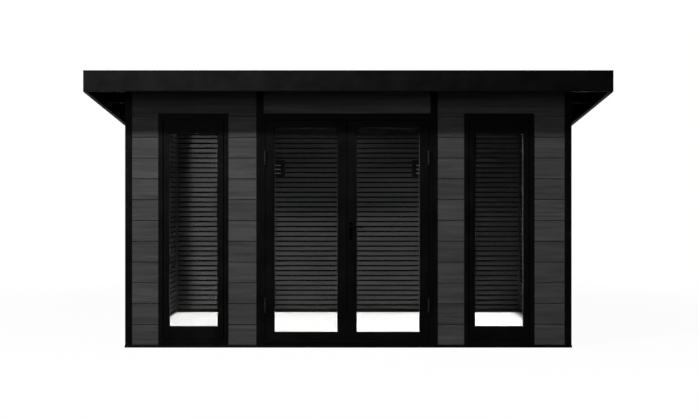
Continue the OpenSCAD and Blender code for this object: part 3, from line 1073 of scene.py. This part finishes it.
@dataclass
class SlatWall(CoursedWall):
    """One wall's inner lining: a backing with horizontal slats before it."""

    slat_pitch: float = 0.0547
    slat_gap: float = 0.0165
    slat_thickness: float = 0.0125
    first_slat: float = 0.0955
    backing_play: float = 0.0006

    def build(self) -> None:
        """Hangs the slats and their backing."""
        inner, span, edge = self.thickness, (-self.half, self.half), self.eased_edge
        outer = inner - self.slat_thickness
        skin = outer - self.backing_play
        sheet = [(0.0, self.foot), (skin, self.foot), (skin, self.top), (0.0, self.top)]
        slats, backing = Draft(), Draft()
        for solid in self.parts(span, (self.foot, self.top), sheet):
            backing.pour(solid)
        height = self.first_slat
        while height < self.top:
            top = height + self.slat_pitch - self.slat_gap
            outline = [
                (outer, height), (inner - edge, height), (inner, height + edge),
                (inner, top - edge), (inner - edge, top), (outer, top),
            ]
            self.lay(slats, span, (height, top), outline)
            height += self.slat_pitch
        name = self.side.name.lower()
        slats.piece(f"slats_{name}", SLATS, stands_for=[self.node])
        backing.piece(f"slat_backing_{name}", RUBBER)


@dataclass
class Cladding(SubAssembly):
    """The boards of all four walls."""

    soffit: Soffit

    def window_opening(self, name: str) -> Opening:
        """The rectangle that a window takes out of the front boards."""
        low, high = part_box(f"window_frame_{name}")
        return Opening(low.x, high.x, 0.0, high.z)

    def build(self) -> None:
        """Builds the four walls of boards."""
        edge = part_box("front_cladding")[1].x
        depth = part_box("left_cladding")[1].y
        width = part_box("back_cladding")[1].x
        left_post, right_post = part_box("door_post_left"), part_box("door_post_right")
        doorway = Opening(left_post[1].x, right_post[0].x, 0.0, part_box("door_frame")[1].z)
        openings = [doorway, self.window_opening("left"), self.window_opening("right")]
        front = [(-edge, left_post[0].x), (doorway.start, doorway.end), (right_post[1].x, edge)]
        for side, node, spans, holes, seed in (
            (Side.FRONT, "front_cladding", front, openings, 11),
            (Side.LEFT, "left_cladding", [(-depth, depth)], [], 12),
            (Side.RIGHT, "right_cladding", [(-depth, depth)], [], 13),
            (Side.BACK, "back_cladding", [(-width, width)], sleeve_openings(), 14),
        ):
            BoardWall(side, node, holes, self.soffit, seed, spans=spans).build()


@dataclass
class Room(SubAssembly):
    """What shows inside: slatted walls, corner trims, skirting, cornice and the floor; the black trims,
    skirting and cornice are painted shade in the corners, at the foot and at the top of the walls.
    """

    soffit: Soffit
    trim_width: float = 0.018
    trim_proud: float = 0.004
    trim_edge: float = 0.0008
    ceiling_gap: float = 0.001
    skirting_height: float = 0.016
    skirting_depth: float = 0.010
    skirting_edge: float = 0.002
    cornice_height: float = 0.012

    def build(self) -> None:
        """Builds the linings and the trims."""
        for side, node, holes, seed in (
            (Side.LEFT, "left_lining", [], 21),
            (Side.RIGHT, "right_lining", [], 22),
            (Side.BACK, "back_lining", sleeve_openings(), 23),
        ):
            SlatWall(side, node, holes, self.soffit, seed).build()
        self.build_trims()
        self.build_skirting()
        self.build_cornice()

    def corner(self) -> Triple:
        """The foot of the room's right back corner."""
        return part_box("right_lining")[0].x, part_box("back_lining")[0].y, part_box("floor_panel")[1].z

    def under_ceiling(self, corner: Triple, opposite: Triple) -> bmesh.types.BMesh:
        """A trim between two corners that ends just under the ceiling."""
        return self.soffit.trim(edged_block(corner, opposite, self.trim_edge), self.ceiling_gap)

    def build_trims(self) -> None:
        """Stands a black angle in each back corner of the room: painted shade, standing in for the shade in
        the room's corners.
        """
        x, y, z = self.corner()
        draft = Draft()
        for way in (-1, 1):
            for wide, deep in ((self.trim_proud, self.trim_width), (self.trim_width, self.trim_proud)):
                foot, top = (way * (x - wide), y - deep, z), (way * x, y, self.soffit.front_z)
                draft.pour(self.under_ceiling(foot, top))
        # Painted shade: the black angles darken the back corners in place of the shade that falls there.
        draft.piece("room_corner_trims_painted_shade", BLACK_FRAME)

    def build_cornice(self) -> None:
        """Runs a black strip along the top of the back wall, under the ceiling: painted shade, standing in
        for the shade that falls there.
        """
        x, y, _ = self.corner()
        half, top = x - self.trim_width, self.soffit.height(y) - self.ceiling_gap
        draft = Draft()
        draft.pour(
            self.under_ceiling((-half, y - self.trim_proud, top - self.cornice_height), (half, y, top))
        )
        # Painted shade: a black strip where the wall meets the ceiling.
        draft.piece("room_cornice_painted_shade", BLACK_FRAME)

    def build_skirting(self) -> None:
        """Runs a low black strip along the foot of the lined walls: painted shade, standing in for the
        shadow line where the walls meet the floor.
        """
        x, y, z = self.corner()
        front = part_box("left_lining")[0].y
        top, inner, near = z + self.skirting_height, x - self.skirting_depth, y - self.skirting_depth
        draft = Draft()
        draft.block((-x, near, z), (x, y, top), self.skirting_edge)
        for way in (-1, 1):
            draft.block((way * inner, front, z), (way * x, near, top), self.skirting_edge)
        # Painted shade: a black strip at the foot of the walls.
        draft.piece("room_skirting_painted_shade", BLACK_FRAME)

    def dress(self) -> None:
        """Finishes the floor and the wall sheets."""
        FINISHES.dress(FLOOR, "floor_panel")
        FINISHES.dress(
            WALL_SHEET,
            "front_wall_left", "front_wall_right", "front_wall_over_doors",
            "left_wall", "right_wall", "back_wall",
        )


@dataclass
class Glazing:
    """One sealed unit: two panes with a spacer bar between them and a gasket on either face."""

    name: str
    node: str
    body: str
    lap: float = 0.009
    foot_lap: float = 0.012
    sheet: float = 0.004
    pane_edge: float = 0.0005
    spacer_width: float = 0.0145
    spacer_rib: Pair = (0.001, 0.002)
    gasket: float = 0.006
    gasket_foot: float = 0.0008

    def build(self) -> None:
        """Builds the panes, the spacer bar and both gaskets."""
        low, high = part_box(self.node)
        panes = Draft()
        for y in (low.y, high.y - self.sheet):
            panes.block((low.x, y, low.z), (high.x, y + self.sheet, high.z), self.pane_edge)
        panes.piece(f"{self.name}_panes", GLASS, self.body, [self.node])
        front, back, wide = low.y + self.sheet, high.y - self.sheet, self.spacer_width
        proud, step = self.spacer_rib
        bar = [
            (0.0, front), (wide, front), (wide + proud, front + step),
            (wide + proud, back - step), (wide, back), (0.0, back),
        ]
        spacers = Draft()
        spacers.pour(ring((low.x, low.z), (high.x, high.z), bar))
        spacers.piece(f"{self.name}_spacer", SPACER, self.body)
        self.build_gaskets(low, high)

    def build_gaskets(self, low: Vector, high: Vector) -> None:
        """Runs a gasket round each face of the unit.

        Args:
            low: the unit's lowest corner.
            high: its highest corner.
        """
        sight_low = (low.x + self.lap, low.z + self.foot_lap)
        sight_high = (high.x - self.lap, high.z - self.lap)
        g = self.gasket
        lip = [(0.0, 0.0), (g, 0.0), (g, self.gasket_foot)]
        lip += [(g * 0.8, g * 0.3), (g * 0.35, g * 0.5), (0.0, g * 0.6)]
        gaskets = Draft()
        for face, out in ((low.y, -1.0), (high.y, 1.0)):
            gaskets.pour(ring(sight_low, sight_high, [(a, face + out * d) for a, d in lip]))
        gaskets.piece(f"{self.name}_gaskets", RUBBER, self.body)


@dataclass
class FixedWindow(SubAssembly):
    """A tall fixed window beside the doors."""

    name: str

    def build(self) -> None:
        """Glazes the window."""
        Glazing(f"window_{self.name}", f"window_glass_{self.name}", "root").build()

    def dress(self) -> None:
        """Finishes its frame and sash."""
        FINISHES.dress(BLACK_FRAME, f"window_frame_{self.name}", f"window_sash_{self.name}")


@dataclass
class Doors(SubAssembly):
    """The double doors with their frame, threshold, hinges and handle."""

    rib_count: int = 5
    rib_width: float = 0.003
    rib_pitch: float = 0.009
    rib_height: float = 0.0012
    rib_inset: float = 0.001
    rib_edge: float = 0.0005
    rib_sunk: float = 0.0004
    first_rib: float = 0.008
    seal_front: float = 0.002
    seal_back: float = 0.0045
    seal_play: float = 0.00008
    seal_edge: float = 0.0002
    cylinder_drop: float = 0.092
    keyway_width: float = 0.0022
    keyway_drop: Span = (0.003, 0.012)
    keyway_proud: float = 0.0002
    keyway_edge: float = 0.0001

    def build(self) -> None:
        """Glazes both leaves, seals their meeting edges and adds the small parts."""
        Glazing("left_door", "left_door_glass", "left_door").build()
        Glazing("right_door", "right_door_glass", "right_door").build()
        self.build_seals()
        self.build_ribs()
        self.build_keyways()

    def build_seals(self) -> None:
        """Lines each meeting edge with a rubber lip; the two lips all but touch."""
        left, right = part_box("left_door_leaf"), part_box("right_door_leaf")
        middle = (left[1].x + right[0].x) / 2
        front, back = left[0].y + self.seal_front, left[0].y + self.seal_back
        for name, start, end in (
            ("left_door", left[1].x, middle - self.seal_play / 2),
            ("right_door", middle + self.seal_play / 2, right[0].x),
        ):
            draft = Draft()
            draft.block((start, front, left[0].z), (end, back, left[1].z), self.seal_edge)
            draft.piece(f"{name}_meeting_seal", RUBBER, name)

    def build_ribs(self) -> None:
        """Ribs the threshold along its top, where one steps on it."""
        low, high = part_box("door_threshold")
        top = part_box("floor_panel")[1].z
        draft = Draft()
        for index in range(self.rib_count):
            y = low.y + self.first_rib + index * self.rib_pitch
            near = (low.x + self.rib_inset, y, top - self.rib_sunk)
            far = (high.x - self.rib_inset, y + self.rib_width, top + self.rib_height)
            draft.block(near, far, self.rib_edge)
        draft.piece("threshold_ribs", THRESHOLD)

    def build_keyways(self) -> None:
        """Marks the keyway on each face of the key cylinder."""
        low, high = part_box("door_handle_plates")
        lever_low, lever_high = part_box("door_lever")
        middle, half = (low.x + high.x) / 2, self.keyway_width / 2
        z = (lever_low.z + lever_high.z) / 2 - self.cylinder_drop
        upper, lower = self.keyway_drop
        draft = Draft()
        for y in (low.y, high.y):
            near = (middle - half, y - self.keyway_proud, z - lower)
            far = (middle + half, y + self.keyway_proud, z - upper)
            draft.block(near, far, self.keyway_edge)
        draft.piece("keyways", RUBBER, "right_door")

    def dress(self) -> None:
        """Finishes the leaves, the frame and their fittings."""
        FINISHES.dress(
            BLACK_FRAME,
            "door_frame", "left_door_leaf", "right_door_leaf", "door_post_left", "door_post_right",
        )
        FINISHES.dress(THRESHOLD, "door_threshold")
        FINISHES.dress(
            HINGE, "left_hinge_posts", "right_hinge_posts", "left_hinge_leaves", "right_hinge_leaves"
        )
        FINISHES.dress(HANDLE, "door_handle_plates", "door_lever")


@dataclass
class Base(SubAssembly):
    """The rails on the ground and the corner posts on them."""

    def dress(self) -> None:
        """Finishes the rails and the posts."""
        FINISHES.dress(
            BLACK_FRAME,
            "base_rail_front", "base_rail_back", "base_rail_left", "base_rail_right",
            "corner_post_front_left", "corner_post_front_right",
            "corner_post_back_left", "corner_post_back_right",
        )


@dataclass
class Roof(SubAssembly):
    """The roof's panels, covering and fascias, with seams, joint covers and a black strip under the fascias
    that is painted shadow.
    """

    soffit: Soffit
    seam_count: int = 4
    seam_width: float = 0.055
    seam_height: float = 0.0022
    seam_sunk: float = 0.001
    seam_front: float = 0.03
    seam_back: float = 0.004
    edging_height: float = 0.008
    edging_depth: float = 0.002
    edging_edge: float = 0.0003
    cover_width: float = 0.030
    cover_depth: float = 0.006
    cover_bevel: float = 0.002
    cover_play: float = 0.001
    cover_eaves_gap: float = 0.006
    panel_count: int = 4

    def build(self) -> None:
        """Builds the seams, the painted-shadow strip under the fascias and the joint covers."""
        self.build_seams()
        self.build_edging()
        self.build_joint_covers()

    def build_seams(self) -> None:
        """Welds a strip over each joint of the covering, from its upper to its lower edge."""
        low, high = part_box("roof_covering")
        lean = math.cos(math.atan(self.soffit.slope))
        half, rise, sunk = self.seam_width / 2, self.seam_height, self.seam_sunk
        outline = [(-half, -sunk), (half, -sunk), (half - rise, rise), (rise - half, rise)]
        pitch = (high.x - low.x) / (self.seam_count + 1)
        draft = Draft()
        for index in range(1, self.seam_count + 1):
            x = low.x + index * pitch
            ends = []
            for y in (low.y + self.seam_front, high.y - self.seam_back):
                top = high.z - self.soffit.slope * (y - low.y)
                ends.append([Vector((x + a, y, top + h / lean)) for a, h in outline])
            draft.pour(drawn_out(*ends))
        draft.piece("covering_seams", MEMBRANE)

    def build_joint_covers(self) -> None:
        """Covers the joints between the roof panels, along the ceiling and under the eaves at the sides;
        those under the eaves are a far lighter grey than those along the ceiling, a painted highlight for
        light catching the joints.
        """
        low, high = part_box("roof_panels")
        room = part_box("right_lining")[0].x - self.cover_play
        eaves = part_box("right_cladding")[1].x + self.cover_eaves_gap
        end = high.x - self.cover_play
        half, deep, bevel = self.cover_width / 2, self.cover_depth, self.cover_bevel
        section = ((-half, 0.0), (bevel - half, -deep), (half - bevel, -deep), (half, 0.0))
        under_eaves, in_room = Draft(), Draft()
        for index in range(1, self.panel_count):
            y = low.y + (high.y - low.y) * index / self.panel_count
            across = [(y + a, self.soffit.height(y + a) + up) for a, up in section]
            for start, stop, draft in (
                (-end, -eaves, under_eaves), (-room, room, in_room), (eaves, end, under_eaves)
            ):
                near, far = ([Vector((x, *point)) for point in across] for x in (start, stop))
                draft.pour(drawn_out(near, far))
        # The covers under the eaves get the lighter grey, a painted highlight; those along the ceiling stay
        # dark.
        under_eaves.piece("eaves_joint_covers", PAINTED_HIGHLIGHT_COVER)
        in_room.piece("ceiling_joint_covers", SOFFIT_SHEET)

    def build_edging(self) -> None:
        """Runs a matt black strip, drawn as a drip edging, along the foot of every fascia in the step under
        its cap's edge: painted shadow for the dark line under the fascia.
        """
        front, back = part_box("fascia_front"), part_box("fascia_back")
        x, y, deep, rise = front[1].x, -front[0].y, self.edging_depth, self.edging_height
        draft = Draft()
        for low_z, near, far in ((front[0].z, -y, deep - y), (back[0].z, y - deep, y)):
            draft.block((-x, near, low_z), (x, far, low_z + rise), self.edging_edge)
        side_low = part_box("fascia_left")[0].z
        start, end = front[1].y, back[0].y
        for way in (-1, 1):
            ends = []
            for at in (end, start):
                foot = side_low + self.soffit.slope * (end - at)
                section = ((x, foot), (x - deep, foot), (x - deep, foot + rise), (x, foot + rise))
                ends.append([Vector((way * a, at, z)) for a, z in section])
            draft.pour(drawn_out(*ends))
        # Painted shadow: the near-black strip darkens the line under each fascia.
        draft.piece("fascia_painted_shadow_strip", RUBBER)

    def dress(self) -> None:
        """Finishes the panels, the covering and the fascias."""
        FINISHES.dress(SOFFIT_SHEET, "roof_panels")
        FINISHES.dress(MEMBRANE, "roof_covering")
        FINISHES.dress(FASCIA_COAT, "fascia_front", "fascia_back", "fascia_left", "fascia_right")


@dataclass
class Vents(SubAssembly):
    """The two slotted vents in the back wall, with their filter pads and fixings."""

    slot_width: float = 0.108
    slot_height: float = 0.009
    slot_pitch: float = 0.044
    pad_depth: float = 0.004
    pad_thickness: float = 0.0015
    pad_edge: float = 0.0002
    screw: ScrewHead = ScrewHead()
    screw_inset: float = 0.014
    screw_sunk: float = 0.0018

    def build(self) -> None:
        """Sets a pad behind each slot and a screw in each corner of the flanges."""
        low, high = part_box("vent_grilles")
        side = high.z - low.z
        pads, screws = Draft(), Draft()
        for x in (low.x + side / 2, high.x - side / 2):
            for y, inwards in ((low.y, 1.0), (high.y, -1.0)):
                self.build_face(Vector((x, y, low.z + side / 2)), inwards, side, pads, screws)
        pads.piece("vent_filters", FLEECE)
        screws.piece("vent_screws", SCREW)

    def build_face(self, middle: Vector, inwards: float, side: float, pads: Draft, screws: Draft) -> None:
        """Furnishes one flange.

        Args:
            middle: the middle of its face.
            inwards: the direction along Y from the face into the wall.
            side: the flange's side.
            pads: what the pads are added to.
            screws: what the screws are added to.
        """
        near = middle.y + inwards * self.pad_depth
        far = near + inwards * self.pad_thickness
        wide, tall = self.slot_width / 2, self.slot_height / 2
        for row in (-1, 0, 1):
            z = middle.z + row * self.slot_pitch
            pads.block((middle.x - wide, near, z - tall), (middle.x + wide, far, z + tall), self.pad_edge)
        reach = side / 2 - self.screw_inset
        for across in (-reach, reach):
            for up in (-reach, reach):
                at = Vector((middle.x + across, middle.y + inwards * self.screw_sunk, middle.z + up))
                screws.pour(self.screw.solid(at, -inwards))

    def dress(self) -> None:
        """Finishes the vents."""
        FINISHES.dress(VENT_COAT, "back_vents", "vent_grilles", "vent_hoods")


# ---------------------------------------------------------------- studio


class StudioTree(NodeTree):
    """The node tree of the ground or the sky, which answers each kind of ray in its own way."""

    def diffuse(self, level: float) -> Socket:
        """Adds a matt grey surface of that level."""
        return self.node("ShaderNodeBsdfDiffuse", {"Color": (*grey(level), 1.0)}).outputs["BSDF"]

    def background(self, level: float) -> Socket:
        """Adds a plain grey background of that level."""
        return self.node("ShaderNodeBackground", {"Color": (*grey(level), 1.0)}).outputs["Background"]

    def rise(self, value: Socket, ends: Span, out: Span = (0.0, 1.0)) -> Socket:
        """Maps a value from one range to another along a smooth curve."""
        return self.between(value, ends, out, "SMOOTHSTEP")

    def passing(self, *kinds: str) -> Socket:
        """Gives 1 for the rays of either of two kinds."""
        path = self.node("ShaderNodeLightPath")
        return self.maths("MAXIMUM", *(path.outputs[kind] for kind in kinds))

    def seen_directly(self) -> Socket:
        """Picks the rays that see the white background: the camera's own and those through glass.

        What a surface has scattered or mirrored doesn't see it, so it lights nothing and veils no pane.

        Returns:
            A value that is 1 for those rays.
        """
        value = self.passing("Is Camera Ray", "Is Transmission Ray")
        path = self.node("ShaderNodeLightPath")
        for turned_aside in ("Diffuse Depth", "Glossy Depth"):
            inputs = {0: value, 1: path.outputs[turned_aside]}
            straight = self.node("ShaderNodeMath", inputs, operation="SUBTRACT", use_clamp=True)
            value = straight.outputs["Value"]
        return value

    def by_ray(self, lighting: Socket, mirrored: Socket, seen: Socket) -> Socket:
        """Joins what surfaces are lit by, what glossy and glass surfaces show, and what is seen.

        Args:
            lighting: the shader that lights surfaces.
            mirrored: the shader for glossy and transmitted rays.
            seen: the shader for the rays that seen_directly picks.

        Returns:
            The joint shader.
        """
        unseen = self.mix(self.passing("Is Glossy Ray", "Is Transmission Ray"), lighting, mirrored)
        return self.mix(self.seen_directly(), unseen, seen)


@dataclass(frozen=True)
class Ground:
    """A round pale floor that fades into the white background and keeps the building's shadow."""

    radius: float = 8.6
    middle: Triple = (0.0, 2.2, 0.0)
    segments: int = 96
    seen_level: float = 0.92
    lighting_level: float = 0.07
    mirrored_level: float = 0.012
    fade_start: float = 0.35
    fade_end: float = 0.85
    least_white: float = 0.955

    def material(self) -> bpy.types.Material:
        """Makes the floor's material.

        Returns:
            The material.
        """
        tree = StudioTree(bpy.data.materials.new("studio_floor"))
        white = tree.node("ShaderNodeEmission", {"Strength": 1.0}).outputs["Emission"]
        where = tree.node("ShaderNodeTexCoord").outputs["Object"]
        reach = tree.node("ShaderNodeVectorMath", {0: where}, operation="LENGTH").outputs["Value"]
        ends = (self.radius * self.fade_start, self.radius * self.fade_end)
        fade = tree.rise(reach, ends, (self.least_white, 1.0))
        seen = tree.mix(fade, tree.diffuse(self.seen_level), white)
        surface = tree.by_ray(tree.diffuse(self.lighting_level), tree.diffuse(self.mirrored_level), seen)
        tree.node("ShaderNodeOutputMaterial", {"Surface": surface})
        return tree.owner

    def build(self) -> None:
        """Lays the floor under the building."""
        disc = bmesh.new()
        bmesh.ops.create_circle(disc, cap_ends=True, segments=self.segments, radius=self.radius)
        mesh = bpy.data.meshes.new("studio_floor")
        disc.to_mesh(mesh)
        disc.free()
        mesh.materials.append(self.material())
        made = stood("studio_floor", mesh, self.middle)
        made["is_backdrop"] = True


@dataclass(frozen=True)
class Sky:
    """The light from all round: levels for what lights surfaces and for what they mirror, white as seen.

    Each pair of numbers is the range of a direction's X, Y or Z over which one level turns into the next.
    """

    low_level: float = 0.70
    high_level: float = 0.21
    ground_level: float = 0.08
    gloss_level: float = 0.008
    left_gloss: float = 0.17
    right_gloss: float = 0.006
    behind: Span = (0.35, 0.85)
    rightwards: Span = (-0.2, 0.04)
    horizon: Span = (-0.02, 0.06)
    gloss_horizon: Span = (0.055, 0.10)
    overhead: Span = (0.25, 0.60)

    def build(self) -> None:
        """Sets the world up."""
        tree = StudioTree(bpy.data.worlds.new("studio_world"))
        where = tree.node("ShaderNodeTexCoord").outputs["Generated"]
        toward = tree.node("ShaderNodeSeparateXYZ", {"Vector": where}).outputs
        white = tree.background(1.0)
        sides = tree.background(self.left_gloss), tree.background(self.right_gloss)
        banked = tree.mix(tree.rise(toward["X"], self.rightwards), *sides)
        higher = tree.rise(toward["Z"], self.gloss_horizon)
        ahead = tree.mix(higher, tree.background(self.gloss_level), banked)
        gloss = tree.mix(tree.rise(toward["Y"], self.behind), ahead, white)
        levels = tree.background(self.low_level), tree.background(self.high_level)
        overhead = tree.mix(tree.rise(toward["Z"], self.overhead), *levels)
        light = tree.mix(tree.rise(toward["Z"], self.horizon), tree.background(self.ground_level), overhead)
        tree.node("ShaderNodeOutputWorld", {"Surface": tree.by_ray(light, gloss, white)})
        bpy.context.scene.world = tree.owner


@dataclass(frozen=True)
class Lamp:
    """A soft rectangular lamp, with its power in watts and the spread of its beam in degrees."""

    name: str
    place: Triple
    target: Triple
    size: Pair
    power: float
    spread: float = 180.0
    mirrored: bool = False

    def build(self) -> None:
        """Hangs the lamp, which the camera doesn't see, and no pane or glossy surface unless mirrored."""
        data = bpy.data.lights.new(self.name, "AREA")
        data.energy = self.power
        data.shape = "RECTANGLE"
        data.size, data.size_y = self.size
        data.spread = math.radians(self.spread)
        made = stood(self.name, data, self.place)
        toward = Vector(self.target) - Vector(self.place)
        made.rotation_euler = toward.to_track_quat("-Z", "Y").to_euler()
        made.visible_camera = False
        made.visible_transmission = self.mirrored
        made.visible_glossy = self.mirrored


# The key lamp hangs to the front left. The others stand in for the daylight that falls in through the
# glass: one lights the floor of the room, and the two beams light the back wall.
LAMPS = (
    Lamp(
        "key_lamp", place=(-3.0, -6.0, 7.02), target=(0.0, -1.5, 1.2),
        size=(0.55, 0.55), power=495.0, mirrored=True,
    ),
    Lamp(
        "room_lamp", place=(-0.03, -0.04, 1.97), target=(-0.03, -0.04, 0.0),
        size=(3.72, 2.72), power=68.80512, spread=6.0,
    ),
    Lamp(
        "door_beam", place=(-0.012, -1.33, 0.605), target=(-0.012, 1.4, 0.605),
        size=(1.70, 1.07), power=4.5475, spread=5.0,
    ),
    Lamp(
        "window_beam", place=(-1.55, -1.33, 1.065), target=(-1.55, 1.4, 1.065),
        size=(0.40, 1.98), power=4.752, spread=3.0,
    ),
)


@dataclass(frozen=True)
class Camera:
    """A camera that stands level before the doors."""

    lens: float = 67.94
    sensor: float = 36.0
    shift: float = -0.0193
    place: Triple = (0.006, -13.3, 1.358)
    far: float = 200.0

    def build(self) -> None:
        """Stands the camera up and sets how its picture is shown."""
        data = bpy.data.cameras.new("camera")
        data.lens = self.lens
        data.sensor_width = self.sensor
        data.shift_y = self.shift
        data.clip_end = self.far
        made = stood("camera", data, self.place)
        made.rotation_euler = (math.radians(90.0), 0.0, 0.0)
        bpy.context.scene.camera = made
        bpy.context.scene.view_settings.view_transform = "Standard"


# ---------------------------------------------------------------- all together


@dataclass
class GardenRoom:
    """The whole building, from the ground up."""

    soffit: Soffit = field(default_factory=Soffit.of_frame)

    def build(self) -> None:
        """Builds and dresses each sub-assembly in turn."""
        for part in (
            Base(), Room(self.soffit), Cladding(self.soffit), FixedWindow("left"), FixedWindow("right"),
            Doors(), Roof(self.soffit), Vents(),
        ):
            part.build()
            part.dress()


def corners() -> list[list[float]]:
    """Lowest and highest corner of what is shown, as plain numbers."""
    return [[float(c) for c in corner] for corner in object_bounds()]


def main() -> None:
    """Builds the looks and the studio."""
    logging.basicConfig(level=logging.INFO, format="%(message)s")
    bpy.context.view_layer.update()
    GardenRoom().build()
    for part in (Ground(), Sky(), *LAMPS, Camera()):
        part.build()


if __name__ == "__main__":
    main()
